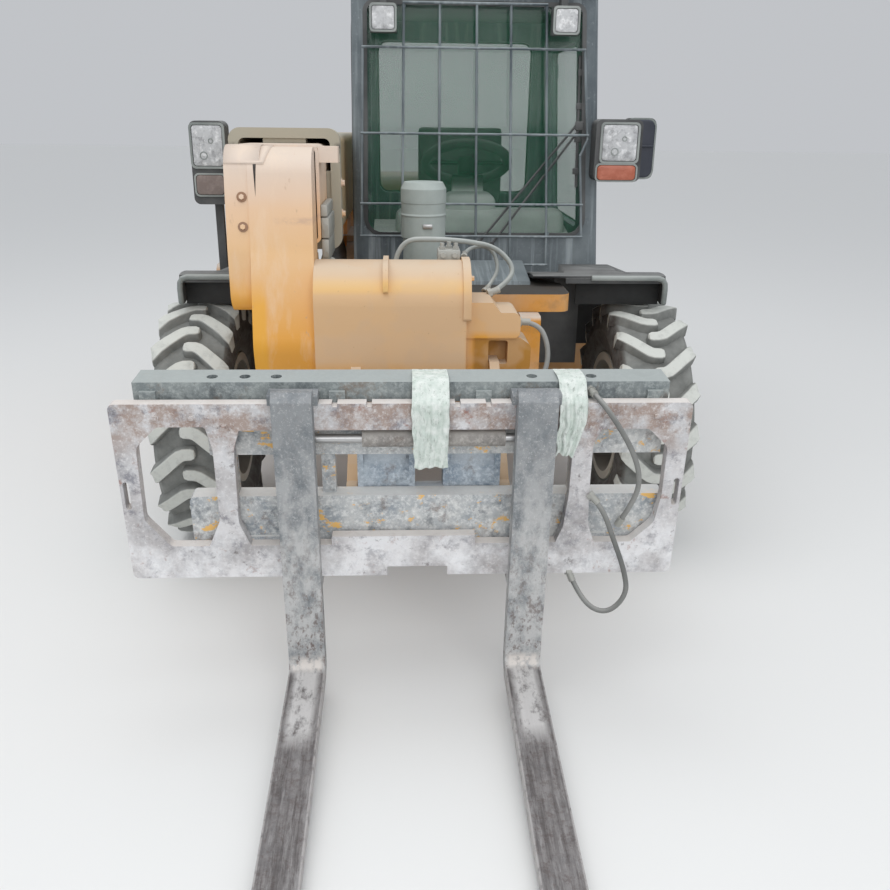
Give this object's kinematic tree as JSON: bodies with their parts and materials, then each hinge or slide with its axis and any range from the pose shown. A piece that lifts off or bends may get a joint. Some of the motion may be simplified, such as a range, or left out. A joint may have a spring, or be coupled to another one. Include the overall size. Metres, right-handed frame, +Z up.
{
  "type": "compact telehandler with a side boom",
  "caption": "Compact telehandler with a boom along one side, a cab with a wire screen guard, a side-shift fork carriage and big lugged tyres.",
  "frame": {"origin": "on the floor under the middle of the machine, forks included", "axes": "-Y towards the forks, +X towards the cab side, +Z up"},
  "size_m": [1.919, 5.0256, 2.0591],
  "materials": {
    "boom_paint": "dusty yellow-orange paint",
    "chassis_paint": "yellow-orange paint",
    "running_gear": "dark grey paint on castings",
    "cab_paint": "dusty blue-grey paint",
    "black_plastic": "dusty black plastic",
    "dusty_grey_paint": "grey paint under dust",
    "carriage_steel": "pale dust over grey paint",
    "fork_steel": "worn dark steel",
    "chrome_rod": "chromed rod",
    "cylinder_paint": "dark grey paint",
    "tyre_rubber": "dusty rubber",
    "rim_paint": "dusty pale paint",
    "window_glass": "green tinted glass",
    "seat_fabric": "black fabric",
    "wrap_cloth": "dusty white cloth",
    "hose_rubber": "dusty black hose",
    "zinc_fitting": "zinc plated union",
    "lamp_red": "red lamp lens"
  },
  "bodies": {
    "chassis": {"chassis_frame": "chassis_paint", "front_axle": "running_gear", "rear_axle": "running_gear", "mudguards": "black_plastic", "counterweight": "chassis_paint", "engine_block": "running_gear", "side_tank": "chassis_paint", "cab_step": "chassis_paint", "filter_canister": "dusty_grey_paint", "cab_frame": "cab_paint", "cab_roof": "cab_paint", "cab_glass": "window_glass", "seat": "seat_fabric", "dash": "black_plastic", "screen_guard": "cab_paint", "work_lamps": "black_plastic", "head_lamps": "black_plastic", "mirrors": "black_plastic", "tail_lamps": "lamp_red"},
    "boom_outer": {"boom_outer": "boom_paint"},
    "boom_inner": {"boom_inner": "boom_paint", "boom_head": "boom_paint", "torsion_beam": "boom_paint", "boom_hose_long": "hose_rubber", "boom_hose_loop": "hose_rubber", "boom_hose_black": "hose_rubber"},
    "carriage": {"hitch": "dusty_grey_paint", "rear_frame": "dusty_grey_paint", "side_shift_barrel": "dusty_grey_paint"},
    "shift_carriage": {"shift_frame": "carriage_steel", "top_beam": "dusty_grey_paint", "side_shift_rod": "chrome_rod", "fork_left": "fork_steel", "fork_right": "fork_steel", "wraps": "wrap_cloth", "hose_upper": "hose_rubber", "hose_lower": "hose_rubber", "hose_end": "zinc_fitting"},
    "lift_barrel": {"lift_cylinder_barrel": "cylinder_paint"},
    "lift_rod": {"lift_cylinder_rod": "chrome_rod"},
    "tilt_barrel": {"tilt_cylinder_barrel": "cylinder_paint"},
    "tilt_rod": {"tilt_cylinder_rod": "chrome_rod"},
    "cab_door": {"cab_door": "cab_paint", "door_glass": "window_glass"},
    "engine_cover": {"engine_cover": "chassis_paint"},
    "front_steering_rod": {"front_steering_rod": "running_gear"},
    "rear_steering_rod": {"rear_steering_rod": "running_gear"},
    "knuckle_front_left": {"knuckle_front_left": "running_gear"},
    "wheel_front_left": {"tyre_front_left": "tyre_rubber", "rim_front_left": "rim_paint"},
    "knuckle_front_right": {"knuckle_front_right": "running_gear"},
    "wheel_front_right": {"tyre_front_right": "tyre_rubber", "rim_front_right": "rim_paint"},
    "knuckle_rear_left": {"knuckle_rear_left": "running_gear"},
    "wheel_rear_left": {"tyre_rear_left": "tyre_rubber", "rim_rear_left": "rim_paint"},
    "knuckle_rear_right": {"knuckle_rear_right": "running_gear"},
    "wheel_rear_right": {"tyre_rear_right": "tyre_rubber", "rim_rear_right": "rim_paint"}
  },
  "joints": [
    {"name": "steer_front_left", "type": "hinge", "parent": "chassis", "child": "knuckle_front_left", "pos_m": [0.64, -0.265, 0.45], "axis": [0, 0, 1], "range_deg": [-30, 30]},
    {"name": "spin_front_left", "type": "hinge", "parent": "knuckle_front_left", "child": "wheel_front_left", "pos_m": [0.822, -0.265, 0.45], "axis": [1, 0, 0], "continuous": true},
    {"name": "steer_front_right", "type": "hinge", "parent": "chassis", "child": "knuckle_front_right", "pos_m": [-0.64, -0.265, 0.45], "axis": [0, 0, 1], "range_deg": [-30, 30]},
    {"name": "spin_front_right", "type": "hinge", "parent": "knuckle_front_right", "child": "wheel_front_right", "pos_m": [-0.822, -0.265, 0.45], "axis": [1, 0, 0], "continuous": true},
    {"name": "steering_rod_front", "type": "slide", "parent": "chassis", "child": "front_steering_rod", "axis": [1, 0, 0], "range_m": [-0.08, 0.08]},
    {"name": "steer_rear_left", "type": "hinge", "parent": "chassis", "child": "knuckle_rear_left", "pos_m": [0.64, 1.905, 0.45], "axis": [0, 0, 1], "range_deg": [-30, 30]},
    {"name": "spin_rear_left", "type": "hinge", "parent": "knuckle_rear_left", "child": "wheel_rear_left", "pos_m": [0.822, 1.905, 0.45], "axis": [1, 0, 0], "continuous": true},
    {"name": "steer_rear_right", "type": "hinge", "parent": "chassis", "child": "knuckle_rear_right", "pos_m": [-0.64, 1.905, 0.45], "axis": [0, 0, 1], "range_deg": [-30, 30]},
    {"name": "spin_rear_right", "type": "hinge", "parent": "knuckle_rear_right", "child": "wheel_rear_right", "pos_m": [-0.822, 1.905, 0.45], "axis": [1, 0, 0], "continuous": true},
    {"name": "steering_rod_rear", "type": "slide", "parent": "chassis", "child": "rear_steering_rod", "axis": [1, 0, 0], "range_m": [-0.08, 0.08]},
    {"name": "boom_lift", "type": "hinge", "parent": "chassis", "child": "boom_outer", "pos_m": [-0.47, 2.05, 1.28], "axis": [-1, 0, 0], "range_deg": [0, 60]},
    {"name": "boom_extend", "type": "slide", "parent": "boom_outer", "child": "boom_inner", "axis": [0, -0.9998, 0.0175], "range_m": [0, 1.4]},
    {"name": "carriage_tilt", "type": "hinge", "parent": "boom_inner", "child": "carriage", "pos_m": [-0.015, -1.29, 0.56], "axis": [-1, 0, 0], "range_deg": [-34, 20]},
    {"name": "side_shift", "type": "slide", "parent": "carriage", "child": "shift_carriage", "axis": [1, 0, 0], "range_m": [-0.035, 0.165]},
    {"name": "lift_cylinder_swing", "type": "hinge", "parent": "chassis", "child": "lift_barrel", "pos_m": [-0.47, 1.86, 0.76], "axis": [-1, 0, 0], "range_deg": [0, 47.87]},
    {"name": "lift_cylinder_stroke", "type": "slide", "parent": "lift_barrel", "child": "lift_rod", "axis": [0, -0.9206, 0.3905], "range_m": [0, 0.5262]},
    {"name": "tilt_cylinder_swing", "type": "hinge", "parent": "boom_inner", "child": "tilt_barrel", "pos_m": [-0.015, -0.7, 0.69], "axis": [-1, 0, 0], "range_deg": [-2.22, 1.51]},
    {"name": "tilt_cylinder_stroke", "type": "slide", "parent": "tilt_barrel", "child": "tilt_rod", "axis": [0, -0.9994, 0.0333], "range_m": [-0.0528, 0.0877]},
    {"name": "cab_door_open", "type": "hinge", "parent": "chassis", "child": "cab_door", "pos_m": [0.75398, 1.166, 0.62082], "axis": [-0.0585, 0, 0.9983], "range_deg": [0, 85]},
    {"name": "engine_cover_open", "type": "hinge", "parent": "chassis", "child": "engine_cover", "pos_m": [0.08, 2.344, 1.018], "axis": [-1, 0, 0], "range_deg": [0, 50]}
  ],
  "couplings": [
    {"joint": "steer_front_right", "follows": "steer_front_left", "ratio": 1},
    {"joint": "steering_rod_front", "follows": "steer_front_left", "m_per_rad": -0.14324},
    {"joint": "steer_rear_right", "follows": "steer_rear_left", "ratio": 1},
    {"joint": "steering_rod_rear", "follows": "steer_rear_left", "m_per_rad": 0.14324},
    {"joint": "lift_cylinder_swing", "follows": "boom_lift", "ratio": 0.78125},
    {"joint": "lift_cylinder_stroke", "follows": "boom_lift", "m_per_rad": 0.49769},
    {"joint": "tilt_cylinder_swing", "follows": "carriage_tilt", "ratio": 0.05063},
    {"joint": "tilt_cylinder_stroke", "follows": "carriage_tilt", "m_per_rad": -0.14278}
  ]
}
